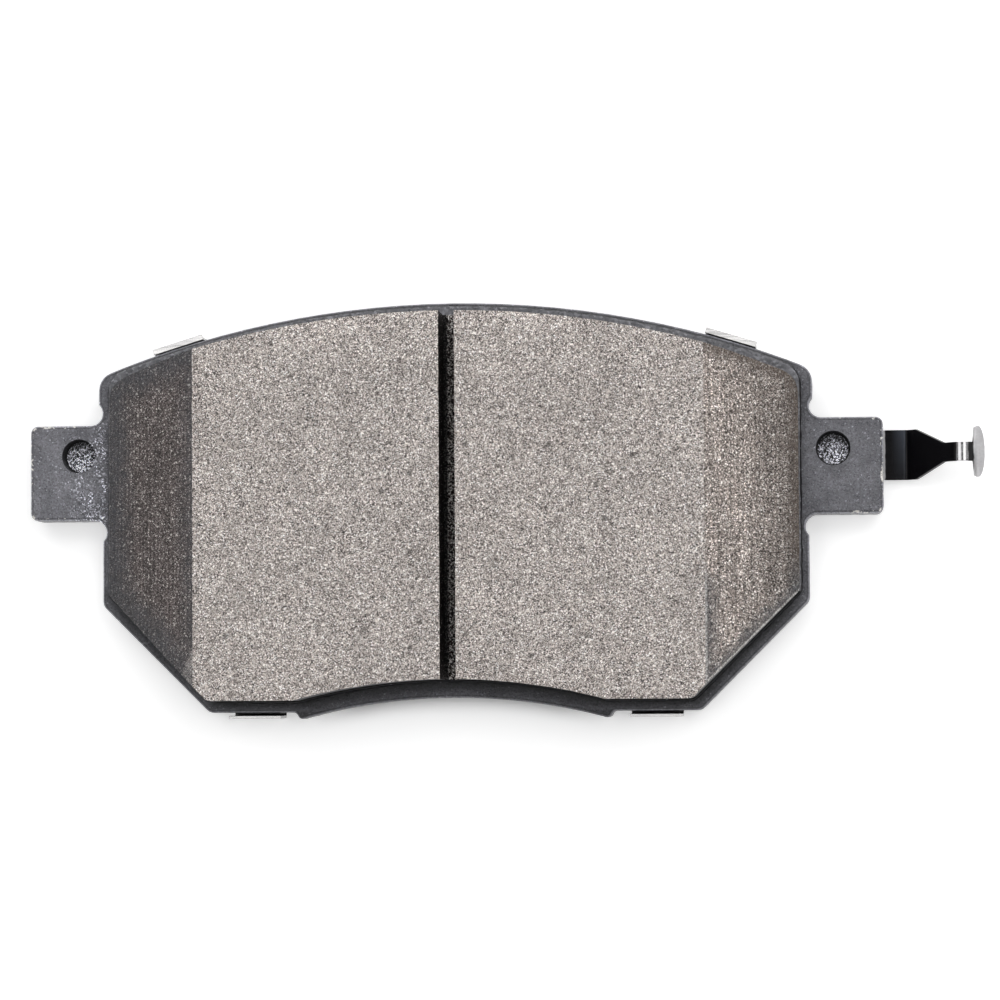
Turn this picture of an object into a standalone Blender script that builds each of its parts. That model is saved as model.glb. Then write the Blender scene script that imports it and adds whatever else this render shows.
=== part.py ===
# Disc brake pad: painted steel backing plate, slotted friction lining on an underlayer, two shims and a
# spring-steel wear indicator. Metres, +Z up. X runs from ear to ear with the wear indicator at +X, +Y points
# away from the disc's axle and +Z is the friction face's normal. The origin lies on the outer shim's back,
# level with the ears' middle.

import math

import bmesh
import bpy
from mathutils import Matrix, Vector

MM = 0.001

# Fits between neighbouring pieces
SEAT_GAP = 0.2 * MM
HOLE_CLEARANCE = 0.3 * MM
# The shim hangs from its top tabs, so its play is at the bottom ones
TOP_TAB_CLEARANCE = 0.2 * MM
BOTTOM_TAB_CLEARANCE = 0.5 * MM

# Backing plate, measured from the middle of the ears
PLATE_THICKNESS = 6.0 * MM
CORE_WIDTH = 116.0 * MM
PLATE_HEIGHT = 66.9 * MM
SHOULDER_FLARE = 0.7 * MM
OUTER_EDGE_RADIUS = 155.0 * MM
OUTER_EDGE_RISE = 27.3 * MM
LOWER_CORNER_CUT = 17.7 * MM
LUG_SPAN = 50.8 * MM
LUG_DROP = 1.2 * MM
LUG_RAMP = 0.6 * MM
INNER_EDGE_RADIUS = 95.0 * MM
SHOULDER_CORNER_RADIUS = 3.0 * MM
LOWER_CORNER_RADIUS = 1.8 * MM
LUG_CORNER_RADIUS = 0.8 * MM

# Ears that slide in the caliper bracket
EAR_LENGTH = 12.1 * MM
EAR_HEIGHT = 15.7 * MM
EAR_CORNER_RADIUS = 1.2 * MM
RELIEF_RADIUS = 2.0 * MM
RELIEF_DEPTH = 0.6 * MM

# Half-pierced dimples in the ears' fronts, and the studs that they push out behind
DIMPLE_DIAMETER = 5.5 * MM
DIMPLE_DEPTH = 2.8 * MM
DIMPLE_FROM_SIDE = 4.0 * MM
DIMPLE_HEIGHT = 2.8 * MM
STUD_DIAMETER = 5.0 * MM
STUD_LENGTH = 1.5 * MM
PEENED_HEAD_OVERHANG = 1.1 * MM
PEENED_HEAD_THICKNESS = 0.6 * MM

# Keying holes through the plate, filled by posts of the underlayer
KEY_HOLE_DIAMETER = 10.0 * MM
KEY_HOLE_SPACING = 50.0 * MM
KEY_HOLE_DROP = 6.0 * MM
KEY_POST_RECESS = 0.6 * MM

# Friction lining
LINING_HEIGHT = 10.5 * MM
UNDERLAYER_THICKNESS = 2.0 * MM
LINING_TOP_MARGIN = 2.15 * MM
LINING_SIDE_MARGIN = 1.55 * MM
LINING_CORNER_MARGIN = 2.2 * MM
LINING_LOWER_MARGIN = 1.95 * MM
LINING_INNER_MARGIN = 3.0 * MM
LINING_SHOULDER_RADIUS = 3.8 * MM
LINING_CORNER_RADIUS = 1.8 * MM
UNDERLAYER_TOP_LEDGE = 1.45 * MM
UNDERLAYER_LEDGE = 0.3 * MM
SLOT_WIDTH = 2.5 * MM
FACE_WIDTH = 82.8 * MM
CHAMFER_FOOT = 0.6 * MM

# Shims on the back
INNER_SHIM_THICKNESS = 0.9 * MM
INNER_SHIM_MARGIN = 2.0 * MM
OUTER_SHIM_THICKNESS = 0.5 * MM
OUTER_SHIM_MARGIN = 1.2 * MM
SHIM_CORNER_RADIUS = 1.5 * MM
TAB_WIDTH = 8.6 * MM
TAB_HEIGHT = 7.2 * MM
TOP_TAB_LIP = 0.4 * MM
TAB_ROOT = 3.0 * MM
TOP_TAB_FROM_SHOULDER = 13.3 * MM
BOTTOM_TAB_FROM_LUG = 2.6 * MM

# Wear indicator strip, measured along the strip from the ear's end
STRIP_THICKNESS = 0.7 * MM
STRIP_WIDTH = 8.2 * MM
STRIP_CENTRE_HEIGHT = 1.9 * MM
TONGUE_WALL = 1.8 * MM
TONGUE_TAPER = 5.5 * MM
LOW_BEND_FROM_EAR = 3.7 * MM
LOW_BEND_RADIUS = 1.0 * MM
RAMP_ANGLE = math.radians(48.0)
CREST_RADIUS = 1.8 * MM
HEAD_ANGLE = math.radians(28.0)
HEAD_ABOVE_PLATE = 2.5 * MM
TAPER_FROM_BEND = 1.6 * MM
NECK_LENGTH = 2.3 * MM
NECK_WIDTH = 3.1 * MM
HEAD_STEM = 0.9 * MM
HEAD_LENGTH = 2.0 * MM
HEAD_WIDTH = 8.3 * MM
HEAD_ARM_SLANT = 0.25 * MM
HEAD_ARM_ROOT = 0.8 * MM

# Smoothness of round shapes, and how much of an edge a fillet may take
EDGE_STEPS = 14
FILLET_STEPS = 5
SHARED_EDGE = 0.5
FREE_EDGE = 0.8
ROUND_STEPS = 32
BEND_STEPS = 6
HEAD_STEPS = 8
SMOOTH_ANGLE = math.radians(35.0)

# Levels up the stack, from the outer shim's back to the friction face
INNER_SHIM_BACK = OUTER_SHIM_THICKNESS + SEAT_GAP
PLATE_BACK = INNER_SHIM_BACK + INNER_SHIM_THICKNESS + SEAT_GAP
PLATE_FRONT = PLATE_BACK + PLATE_THICKNESS
UNDERLAYER_BACK = PLATE_FRONT + SEAT_GAP
UNDERLAYER_FRONT = UNDERLAYER_BACK + UNDERLAYER_THICKNESS
BLOCK_BACK = UNDERLAYER_FRONT + SEAT_GAP
FRICTION_FACE = PLATE_FRONT + LINING_HEIGHT

# Places that several pieces share
CORE_SIDE = CORE_WIDTH / 2
SHOULDER_SIDE = CORE_SIDE + SHOULDER_FLARE
EAR_END = CORE_SIDE + EAR_LENGTH
DIMPLE_X = CORE_SIDE + DIMPLE_FROM_SIDE
OUTER_EDGE_CENTRE = OUTER_EDGE_RISE - OUTER_EDGE_RADIUS
LOWER_EDGE_DROP = PLATE_HEIGHT - OUTER_EDGE_RISE
LUG_BOTTOM = -LOWER_EDGE_DROP - LUG_DROP
INNER_EDGE_CENTRE = LUG_BOTTOM - math.sqrt(INNER_EDGE_RADIUS**2 - (LUG_SPAN / 2) ** 2)
KEY_HOLE_PLACES = [(-KEY_HOLE_SPACING / 2, -KEY_HOLE_DROP), (KEY_HOLE_SPACING / 2, -KEY_HOLE_DROP)]
STRIP_FRONT = PLATE_BACK - SEAT_GAP
STRIP_MIDDLE = STRIP_FRONT - STRIP_THICKNESS / 2
STRIP_HOLE_DIAMETER = STUD_DIAMETER + 2 * HOLE_CLEARANCE


def clear_scene():
    for obj in list(bpy.data.objects):
        bpy.data.objects.remove(obj, do_unlink=True)


def make_material(name, colour, roughness, metallic):
    material = bpy.data.materials.new(name)
    material.use_nodes = True
    shader = material.node_tree.nodes["Principled BSDF"]
    shader.inputs["Base Color"].default_value = (*colour, 1.0)
    shader.inputs["Roughness"].default_value = roughness
    shader.inputs["Metallic"].default_value = metallic
    return material


def make_object(name, shape, material=None):
    mesh = bpy.data.meshes.new(name)
    bmesh.ops.recalc_face_normals(shape, faces=shape.faces)
    shape.to_mesh(mesh)
    shape.free()
    mesh.shade_smooth()
    mesh.set_sharp_from_angle(angle=SMOOTH_ANGLE)
    if material:
        mesh.materials.append(material)
    obj = bpy.data.objects.new(name, mesh)
    bpy.context.scene.collection.objects.link(obj)
    return obj


def make_empty(name, location):
    empty = bpy.data.objects.new(name, None)
    empty.location = location
    bpy.context.scene.collection.objects.link(empty)
    return empty


def hang(obj, carrier):
    # The object keeps its place in the world and follows its carrier.
    obj.parent = carrier
    obj.matrix_parent_inverse = Matrix.Translation(carrier.location).inverted()


def prism_shape(outline, bottom, top):
    shape = bmesh.new()
    face = shape.faces.new([shape.verts.new((x, y, bottom)) for x, y in outline])
    raised = bmesh.ops.extrude_face_region(shape, geom=[face])["geom"]
    raised_verts = [item for item in raised if isinstance(item, bmesh.types.BMVert)]
    bmesh.ops.translate(shape, verts=raised_verts, vec=(0, 0, top - bottom))
    return shape


def disc_shape(x, y, diameter, bottom, top):
    outline = arc_points((x, y), diameter / 2, 0, math.tau, ROUND_STEPS)
    return prism_shape(outline[:-1], bottom, top)


def combine(target, shape, operation):
    tool = make_object(f"{target.name}_{operation.lower()}_{len(target.modifiers)}", shape)
    tool.hide_render = True
    tool.display_type = "WIRE"
    tool.parent = target
    modifier = target.modifiers.new(operation.title(), "BOOLEAN")
    modifier.operation = operation
    modifier.solver = "EXACT"
    modifier.object = tool


def arc_points(centre, radius, start, end, steps):
    angles = [start + (end - start) * step / steps for step in range(steps + 1)]
    return [(centre[0] + radius * math.cos(a), centre[1] + radius * math.sin(a)) for a in angles]


def rounded_outline(corners):
    # Each corner is (x, y, radius) and a radius of 0 keeps it sharp. A fillet takes up to half of an edge, or more
    # of one whose far end is sharp.
    outline = []
    for index, (x, y, radius) in enumerate(corners):
        if radius == 0:
            outline.append((x, y))
            continue
        corner = Vector((x, y))
        neighbours = (corners[index - 1], corners[(index + 1) % len(corners)])
        before, after = [Vector(place[:2]) - corner for place in neighbours]
        shares = [SHARED_EDGE if place[2] else FREE_EDGE for place in neighbours]
        room = min(before.length * shares[0], after.length * shares[1])
        before.normalize()
        after.normalize()
        half_angle = before.angle(after) / 2
        radius = min(radius, room * math.tan(half_angle))
        centre = corner + (before + after).normalized() * radius / math.sin(half_angle)
        first = corner + before * radius / math.tan(half_angle) - centre
        turn = first.angle_signed(corner + after * radius / math.tan(half_angle) - centre)
        start = math.atan2(first.y, first.x)
        outline += arc_points(centre, radius, start, start - turn, FILLET_STEPS)
    return outline


def mirrored(right_half):
    # The right half runs clockwise from the top's middle to the bottom's, and both lie on the mirror line.
    return right_half + [(-x, y, radius) for x, y, radius in reversed(right_half[1:-1])]


def edge_arc(centre_height, radius, start_x, end_x):
    start = math.acos(start_x / radius)
    end = math.acos(end_x / radius)
    return arc_points((0, centre_height), radius, start, end, EDGE_STEPS)


def relief_arc(side, ear_edge, sign):
    # Undercut where an ear meets the plate's side, from the side to the ear's flat edge.
    centre = (side + RELIEF_RADIUS - RELIEF_DEPTH, ear_edge + sign * RELIEF_RADIUS)
    start = math.acos((RELIEF_DEPTH - RELIEF_RADIUS) / RELIEF_RADIUS)
    return arc_points(centre, RELIEF_RADIUS, sign * start, sign * math.pi * 1.5, 2 * FILLET_STEPS)


def core_outline(top, side, corner, lower, inner, shoulder_radius, corner_radius):
    # The plate's outline without ears, lugs and shoulders, moved in by a margin on each edge.
    edge_x = CORE_SIDE - side
    edge_y = lower - LOWER_EDGE_DROP
    diagonal = CORE_SIDE + LOWER_EDGE_DROP - LOWER_CORNER_CUT - corner * math.sqrt(2)
    outer_radius = OUTER_EDGE_RADIUS - top
    inner_radius = INNER_EDGE_RADIUS + inner
    inner_end = math.sqrt(inner_radius**2 - (edge_y - INNER_EDGE_CENTRE) ** 2)
    top_edge = edge_arc(OUTER_EDGE_CENTRE, outer_radius, 0, edge_x)
    right = [(x, y, 0) for x, y in top_edge[:-1]]
    right.append((*top_edge[-1], shoulder_radius))
    right.append((edge_x, edge_x - diagonal, corner_radius))
    right.append((diagonal + edge_y, edge_y, corner_radius))
    right += [(x, y, 0) for x, y in edge_arc(INNER_EDGE_CENTRE, inner_radius, inner_end, 0)]
    return rounded_outline(mirrored(right))


def plate_outline():
    ear_edge = EAR_HEIGHT / 2
    top_edge = edge_arc(OUTER_EDGE_CENTRE, OUTER_EDGE_RADIUS, 0, SHOULDER_SIDE)
    right = [(x, y, 0) for x, y in top_edge[:-1]]
    right.append((*top_edge[-1], SHOULDER_CORNER_RADIUS))
    right += [(x, y, 0) for x, y in relief_arc(SHOULDER_SIDE, ear_edge, 1)]
    right.append((EAR_END, ear_edge, EAR_CORNER_RADIUS))
    right.append((EAR_END, -ear_edge, EAR_CORNER_RADIUS))
    right += [(x, y, 0) for x, y in reversed(relief_arc(CORE_SIDE, -ear_edge, -1))]
    right.append((CORE_SIDE, LOWER_CORNER_CUT - LOWER_EDGE_DROP, LOWER_CORNER_RADIUS))
    right.append((CORE_SIDE - LOWER_CORNER_CUT, -LOWER_EDGE_DROP, LOWER_CORNER_RADIUS))
    right.append((LUG_SPAN / 2 + LUG_RAMP, -LOWER_EDGE_DROP, LUG_CORNER_RADIUS))
    inner_edge = edge_arc(INNER_EDGE_CENTRE, INNER_EDGE_RADIUS, LUG_SPAN / 2, 0)
    right.append((*inner_edge[0], LUG_CORNER_RADIUS))
    right += [(x, y, 0) for x, y in inner_edge[1:]]
    return rounded_outline(mirrored(right))


def lining_outline(top_ledge=0.0, ledge=0.0):
    return core_outline(
        LINING_TOP_MARGIN - top_ledge,
        LINING_SIDE_MARGIN - ledge,
        LINING_CORNER_MARGIN - ledge,
        LINING_LOWER_MARGIN - ledge,
        LINING_INNER_MARGIN - ledge,
        LINING_SHOULDER_RADIUS,
        LINING_CORNER_RADIUS,
    )


def build_backing_plate(material):
    slab = prism_shape(plate_outline(), PLATE_BACK, PLATE_FRONT)
    plate = make_object("backing_plate", slab, material)
    dimple_floor = PLATE_FRONT - DIMPLE_DEPTH
    above_plate = PLATE_FRONT + SEAT_GAP
    for x in (-DIMPLE_X, DIMPLE_X):
        dimple = disc_shape(x, DIMPLE_HEIGHT, DIMPLE_DIAMETER, dimple_floor, above_plate)
        combine(plate, dimple, "DIFFERENCE")
    for x, y in KEY_HOLE_PLACES:
        hole = disc_shape(x, y, KEY_HOLE_DIAMETER, PLATE_BACK - SEAT_GAP, above_plate)
        combine(plate, hole, "DIFFERENCE")
    inside_ear = (PLATE_BACK + dimple_floor) / 2
    free_stud = disc_shape(-DIMPLE_X, DIMPLE_HEIGHT, STUD_DIAMETER, PLATE_BACK - STUD_LENGTH, inside_ear)
    combine(plate, free_stud, "UNION")
    head_front = STRIP_FRONT - STRIP_THICKNESS - SEAT_GAP
    head_back = head_front - PEENED_HEAD_THICKNESS
    inside_head = (head_front + head_back) / 2
    peened_stud = disc_shape(DIMPLE_X, DIMPLE_HEIGHT, STUD_DIAMETER, inside_head, inside_ear)
    combine(plate, peened_stud, "UNION")
    head_diameter = STUD_DIAMETER + 2 * PEENED_HEAD_OVERHANG
    peened_head = disc_shape(DIMPLE_X, DIMPLE_HEIGHT, head_diameter, head_back, head_front)
    combine(plate, peened_head, "UNION")
    return plate


def build_underlayer(material):
    # It stands out round the friction blocks as a ledge, which is widest along the outer edge.
    outline = lining_outline(UNDERLAYER_TOP_LEDGE, UNDERLAYER_LEDGE)
    sheet = prism_shape(outline, UNDERLAYER_BACK, UNDERLAYER_FRONT)
    layer = make_object("underlayer", sheet, material)
    post_diameter = KEY_HOLE_DIAMETER - 2 * HOLE_CLEARANCE
    inside_layer = (UNDERLAYER_BACK + UNDERLAYER_FRONT) / 2
    for x, y in KEY_HOLE_PLACES:
        post = disc_shape(x, y, post_diameter, PLATE_BACK + KEY_POST_RECESS, inside_layer)
        combine(layer, post, "UNION")
    return layer


def build_friction_block(name, side, material):
    # The whole lining, cut away at the slot and along the chamfer that is ground on the block's end.
    shape = prism_shape(lining_outline(), BLOCK_BACK, FRICTION_FACE)
    chamfer_run = CORE_SIDE - LINING_SIDE_MARGIN - FACE_WIDTH / 2
    chamfer_fall = FRICTION_FACE - BLOCK_BACK - CHAMFER_FOOT
    slot_wall = (side * SLOT_WIDTH / 2, 0, FRICTION_FACE)
    chamfer_line = (side * FACE_WIDTH / 2, 0, FRICTION_FACE)
    cuts = [(slot_wall, (-side, 0, 0)), (chamfer_line, (side * chamfer_fall, 0, chamfer_run))]
    for point, normal in cuts:
        everything = shape.verts[:] + shape.edges[:] + shape.faces[:]
        bmesh.ops.bisect_plane(shape, geom=everything, plane_co=point, plane_no=normal, clear_outer=True)
        open_edges = [edge for edge in shape.edges if edge.is_boundary]
        bmesh.ops.edgeloop_fill(shape, edges=open_edges)
    return make_object(name, shape, material)


def build_inner_shim(material):
    outline = core_outline(*[INNER_SHIM_MARGIN] * 5, *[SHIM_CORNER_RADIUS] * 2)
    inner_shim_front = INNER_SHIM_BACK + INNER_SHIM_THICKNESS
    return make_object("inner_shim", prism_shape(outline, INNER_SHIM_BACK, inner_shim_front), material)


def tab_shape(x, y, facing, clearance, lip):
    # One clip: a strip that runs out under the plate's edge and turns up beside it. A lip folds its end outwards.
    outer = clearance + OUTER_SHIM_THICKNESS
    lip_back = TAB_HEIGHT - OUTER_SHIM_THICKNESS
    profile = [(-TAB_ROOT, 0), (outer, 0)]
    if lip:
        profile += [(outer, lip_back), (outer + lip, lip_back)]
    profile += [
        (outer + lip, TAB_HEIGHT),
        (clearance, TAB_HEIGHT),
        (clearance, OUTER_SHIM_THICKNESS),
        (-TAB_ROOT, OUTER_SHIM_THICKNESS),
    ]
    shape = prism_shape(profile, -TAB_WIDTH / 2, TAB_WIDTH / 2)
    upright = Matrix(((0, 0, 1, 0), (1, 0, 0, 0), (0, 1, 0, 0), (0, 0, 0, 1)))
    turn = Matrix.Rotation(facing - math.pi / 2, 4, "Z")
    shape.transform(Matrix.Translation((x, y, 0)) @ turn @ upright)
    return shape


def build_outer_shim(material):
    outline = core_outline(*[OUTER_SHIM_MARGIN] * 5, *[SHIM_CORNER_RADIUS] * 2)
    shim = make_object("outer_shim", prism_shape(outline, 0, OUTER_SHIM_THICKNESS), material)
    for side in (-1, 1):
        top_x = side * (SHOULDER_SIDE - TOP_TAB_FROM_SHOULDER)
        facing = math.acos(top_x / OUTER_EDGE_RADIUS)
        top_y = OUTER_EDGE_CENTRE + OUTER_EDGE_RADIUS * math.sin(facing)
        combine(shim, tab_shape(top_x, top_y, facing, TOP_TAB_CLEARANCE, TOP_TAB_LIP), "UNION")
        bottom_x = side * (LUG_SPAN / 2 + LUG_RAMP + BOTTOM_TAB_FROM_LUG + TAB_WIDTH / 2)
        bottom_tab = tab_shape(bottom_x, -LOWER_EDGE_DROP, -math.pi / 2, BOTTOM_TAB_CLEARANCE, 0)
        combine(shim, bottom_tab, "UNION")
    return shim


def strip_stations():
    # Places along the strip's middle as (x, y, z, slope, width), from the tongue behind the ear to the head.
    y = STRIP_CENTRE_HEIGHT
    tongue_radius = STRIP_HOLE_DIAMETER / 2 + TONGUE_WALL
    path = []
    for step in range(1, FILLET_STEPS + 1):
        angle = math.pi / 2 * step / FILLET_STEPS
        x = DIMPLE_X - tongue_radius * math.cos(angle)
        path.append((x, DIMPLE_HEIGHT, STRIP_MIDDLE, 0, 2 * tongue_radius * math.sin(angle)))
    path.append((DIMPLE_X + TONGUE_TAPER, y, STRIP_MIDDLE, 0, STRIP_WIDTH))
    bend_start = EAR_END + LOW_BEND_FROM_EAR
    for step in range(BEND_STEPS + 1):
        slope = RAMP_ANGLE * step / BEND_STEPS
        x = bend_start + LOW_BEND_RADIUS * math.sin(slope)
        z = STRIP_MIDDLE + LOW_BEND_RADIUS * (1 - math.cos(slope))
        path.append((x, y, z, slope, STRIP_WIDTH))
    foot_x = path[-1][0]
    foot_z = path[-1][2]
    crest_middle = PLATE_FRONT + HEAD_ABOVE_PLATE - STRIP_THICKNESS / 2
    top_z = crest_middle - CREST_RADIUS * (1 - math.cos(RAMP_ANGLE))
    top_x = foot_x + (top_z - foot_z) / math.tan(RAMP_ANGLE)
    ramp_length = (top_z - foot_z) / math.sin(RAMP_ANGLE)
    for along, width in ((TAPER_FROM_BEND, STRIP_WIDTH), (ramp_length - NECK_LENGTH, NECK_WIDTH)):
        x = foot_x + along * math.cos(RAMP_ANGLE)
        z = foot_z + along * math.sin(RAMP_ANGLE)
        path.append((x, y, z, RAMP_ANGLE, width))
    for step in range(2 * BEND_STEPS + 1):
        slope = RAMP_ANGLE - (RAMP_ANGLE + HEAD_ANGLE) * step / (2 * BEND_STEPS)
        x = top_x + CREST_RADIUS * (math.sin(RAMP_ANGLE) - math.sin(slope))
        z = top_z + CREST_RADIUS * (math.cos(slope) - math.cos(RAMP_ANGLE))
        path.append((x, y, z, slope, NECK_WIDTH))
    end_x = path[-1][0]
    end_z = path[-1][2]
    for along, width in head_widths():
        x = end_x + along * math.cos(HEAD_ANGLE)
        z = end_z - along * math.sin(HEAD_ANGLE)
        path.append((x, y, z, -HEAD_ANGLE, width))
    return path


def head_widths():
    # The T-shaped head as (distance from the crest, width): arms that leave the neck almost square, and a far
    # edge that is half an ellipse.
    yield HEAD_STEM, NECK_WIDTH
    yield HEAD_STEM + HEAD_ARM_SLANT, HEAD_WIDTH - 2 * HEAD_ARM_SLANT
    for step in range(HEAD_STEPS):
        angle = math.pi / 2 * step / HEAD_STEPS
        along = HEAD_STEM + HEAD_ARM_ROOT + (HEAD_LENGTH - HEAD_ARM_ROOT) * math.sin(angle)
        yield along, HEAD_WIDTH * math.cos(angle)


def build_wear_indicator(material):
    shape = bmesh.new()
    rings = []
    for x, y, z, slope, width in strip_stations():
        across = Vector((-math.sin(slope), 0, math.cos(slope))) * STRIP_THICKNESS / 2
        middle = Vector((x, y, z))
        half = Vector((0, width / 2, 0))
        back = [middle - half - across, middle + half - across]
        front = [middle + half + across, middle - half + across]
        rings.append([shape.verts.new(corner) for corner in back + front])
    for ring, following in zip(rings, rings[1:]):
        for side in range(4):
            beside = (side + 1) % 4
            shape.faces.new((ring[side], ring[beside], following[beside], following[side]))
    shape.faces.new(rings[0])
    shape.faces.new(rings[-1])
    strip = make_object("wear_indicator", shape, material)
    hole_back = STRIP_MIDDLE - STRIP_THICKNESS
    hole_front = STRIP_MIDDLE + STRIP_THICKNESS
    hole = disc_shape(DIMPLE_X, DIMPLE_HEIGHT, STRIP_HOLE_DIAMETER, hole_back, hole_front)
    combine(strip, hole, "DIFFERENCE")
    return strip


def main():
    clear_scene()
    painted_steel = make_material("black_painted_steel", (0.045, 0.045, 0.05), 0.5, 0.0)
    friction_mix = make_material("ground_friction_mix", (0.36, 0.33, 0.31), 0.85, 0.0)
    underlayer_mix = make_material("moulded_underlayer_mix", (0.07, 0.06, 0.055), 0.9, 0.0)
    coated_steel = make_material("rubber_coated_steel", (0.02, 0.02, 0.022), 0.7, 0.0)
    stainless = make_material("rolled_stainless_sheet", (0.6, 0.6, 0.6), 0.25, 1.0)
    spring_steel = make_material("blued_spring_steel", (0.05, 0.05, 0.06), 0.2, 1.0)

    # The pad lifts off the outer shim along Z, and the wear indicator bends about Y at the ear's end.
    pad_lift = make_empty("pad_lift", (0, 0, PLATE_BACK))
    indicator_hinge = make_empty("indicator_hinge", (EAR_END, STRIP_CENTRE_HEIGHT, STRIP_MIDDLE))
    hang(indicator_hinge, pad_lift)
    build_outer_shim(stainless)
    hang(build_inner_shim(coated_steel), pad_lift)
    hang(build_backing_plate(painted_steel), pad_lift)
    hang(build_underlayer(underlayer_mix), pad_lift)
    hang(build_friction_block("friction_block_left", -1, friction_mix), pad_lift)
    hang(build_friction_block("friction_block_right", 1, friction_mix), pad_lift)
    hang(build_wear_indicator(spring_steel), indicator_hinge)


main()
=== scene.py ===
import math

import bmesh
import bpy
from mathutils import Matrix, Vector, noise


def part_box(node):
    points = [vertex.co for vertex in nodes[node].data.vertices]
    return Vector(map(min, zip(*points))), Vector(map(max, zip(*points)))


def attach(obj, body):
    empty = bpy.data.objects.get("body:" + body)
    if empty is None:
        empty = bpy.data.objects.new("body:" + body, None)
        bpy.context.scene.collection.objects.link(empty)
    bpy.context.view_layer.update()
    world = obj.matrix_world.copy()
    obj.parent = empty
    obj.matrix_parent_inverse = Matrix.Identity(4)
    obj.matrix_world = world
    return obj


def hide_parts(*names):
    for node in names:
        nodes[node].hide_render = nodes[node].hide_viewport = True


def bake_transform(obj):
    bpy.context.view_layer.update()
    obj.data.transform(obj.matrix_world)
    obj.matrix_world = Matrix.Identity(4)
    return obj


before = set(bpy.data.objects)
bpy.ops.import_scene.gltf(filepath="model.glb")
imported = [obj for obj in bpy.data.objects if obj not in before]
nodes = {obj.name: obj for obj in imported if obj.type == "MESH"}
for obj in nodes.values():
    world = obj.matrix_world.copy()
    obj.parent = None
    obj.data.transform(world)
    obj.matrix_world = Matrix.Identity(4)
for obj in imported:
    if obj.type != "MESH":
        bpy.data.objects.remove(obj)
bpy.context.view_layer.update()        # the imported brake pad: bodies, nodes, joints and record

scene = bpy.context.scene
mm = 0.001
hair = 0.0005 * mm        # a point this close to a cut lies on it
tearSize = 1.1 * mm        # length of the bumps along a rough edge
print("frame loaded")


# shapes that start from the CAD nodes

def loopsAt(node, height):
    # closed edges of the node's flat faces at that height, the largest first, all anticlockwise
    # corners are matched as whole thousandths of a millimetre
    mesh = nodes[node].data
    spots = [tuple(round(c / (0.001 * mm)) for c in vertex.co) for vertex in mesh.vertices]
    steps = set()
    for face in mesh.polygons:
        if abs(face.normal.z) > 0.99 and abs(face.center.z - height) < 0.01 * mm:
            corners = [spots[i] for i in face.vertices]
            steps.update(zip(corners, corners[1:] + corners[:1]))
    follow = {a: b for a, b in steps if (b, a) not in steps}
    loops = []
    while follow:
        start = min(follow)
        loop = [start]
        spot = follow.pop(start)
        while spot != start:
            loop.append(spot)
            spot = follow.pop(spot)
        points = [Vector((x, y)) * 0.001 * mm for x, y, z in loop]
        loops.append(points if areaOf(points) > 0 else points[::-1])
    return sorted(loops, key=areaOf, reverse=True)


def areaOf(points):
    return sum(a.x * b.y - b.x * a.y for a, b in zip(points, points[1:] + points[:1])) / 2


def roundOf(points):
    # middle and radius of a round loop
    middle = sum(points, Vector((0, 0))) / len(points)
    return middle, sum((p - middle).length for p in points) / len(points)


def resampled(points, step):
    made = []
    for a, b in zip(points, points[1:] + points[:1]):
        count = max(1, round((b - a).length / step))
        made += [a.lerp(b, i / count) for i in range(count)]
    return made


def outward(points):
    # one sideways vector per point, so that adding it moves both neighbouring edges out by one
    made = []
    for before, here, after in zip(points[-1:] + points[:-1], points, points[1:] + points[:1]):
        one = (here - before).normalized()
        two = (after - here).normalized()
        side = Vector((one.y + two.y, -one.x - two.x, 0)).normalized()
        made.append(side / max(0.5, side.x * one.y - side.y * one.x))
    return made


def loft(points, profile):
    # a closed solid from rings at (out, height, roughness, rim); rim is stored for the finish at its edges
    shape = bmesh.new()
    rim = shape.verts.layers.float.new("rim")
    sides = outward(points)
    rings = []
    for out, height, rough, edge in profile:
        ring = []
        for point, side in zip(points, sides):
            spot = Vector((point.x, point.y, height))
            away = out + rough * noise.noise(spot / tearSize)
            vertex = shape.verts.new(spot + side * away)
            vertex[rim] = edge
            ring.append(vertex)
        rings.append(ring)
    for low, high in zip(rings, rings[1:]):
        for i in range(len(low)):
            j = (i + 1) % len(low)
            shape.faces.new((low[i], low[j], high[j], high[i])).smooth = True
    shape.faces.new(rings[0][::-1])
    shape.faces.new(rings[-1])
    return shape


def turned(middle, profile, count=64):
    # a closed solid of revolution from (radius, height) pairs, the first and last on the axis
    shape = bmesh.new()
    foot = shape.verts.new((middle.x, middle.y, profile[0][1]))
    head = shape.verts.new((middle.x, middle.y, profile[-1][1]))
    rings = []
    for radius, height in profile[1:-1]:
        ring = []
        for i in range(count):
            turn = 2 * math.pi * i / count
            spot = (middle.x + radius * math.cos(turn), middle.y + radius * math.sin(turn), height)
            ring.append(shape.verts.new(spot))
        rings.append(ring)
    for i in range(count):
        j = (i + 1) % count
        shape.faces.new((foot, rings[0][j], rings[0][i]))
        shape.faces.new((rings[-1][i], rings[-1][j], head))
        for low, high in zip(rings, rings[1:]):
            wall = shape.faces.new((low[i], low[j], high[j], high[i]))
            wall.smooth = True
            wall.material_index = 1
    return shape


def copied(node):
    # the CAD node's own solid, its split corners joined and its flat faces whole
    shape = bmesh.new()
    shape.from_mesh(nodes[node].data)
    bmesh.ops.remove_doubles(shape, verts=shape.verts, dist=0.002 * mm)
    bmesh.ops.dissolve_limit(shape, angle_limit=math.radians(0.3), verts=shape.verts, edges=shape.edges)
    for face in shape.faces:
        face.material_index = 0
    return shape


def sharpEdges(shape, least):
    joined = [e for e in shape.edges if len(e.link_faces) == 2]
    return [e for e in joined if e.calc_face_angle() > math.radians(least)]


def rounded(shape, edges, width, segments):
    bmesh.ops.bevel(
        shape, geom=edges, offset=width, offset_type="OFFSET", segments=segments, profile=0.5,
        affect="EDGES", clamp_overlap=True,
    )


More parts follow.
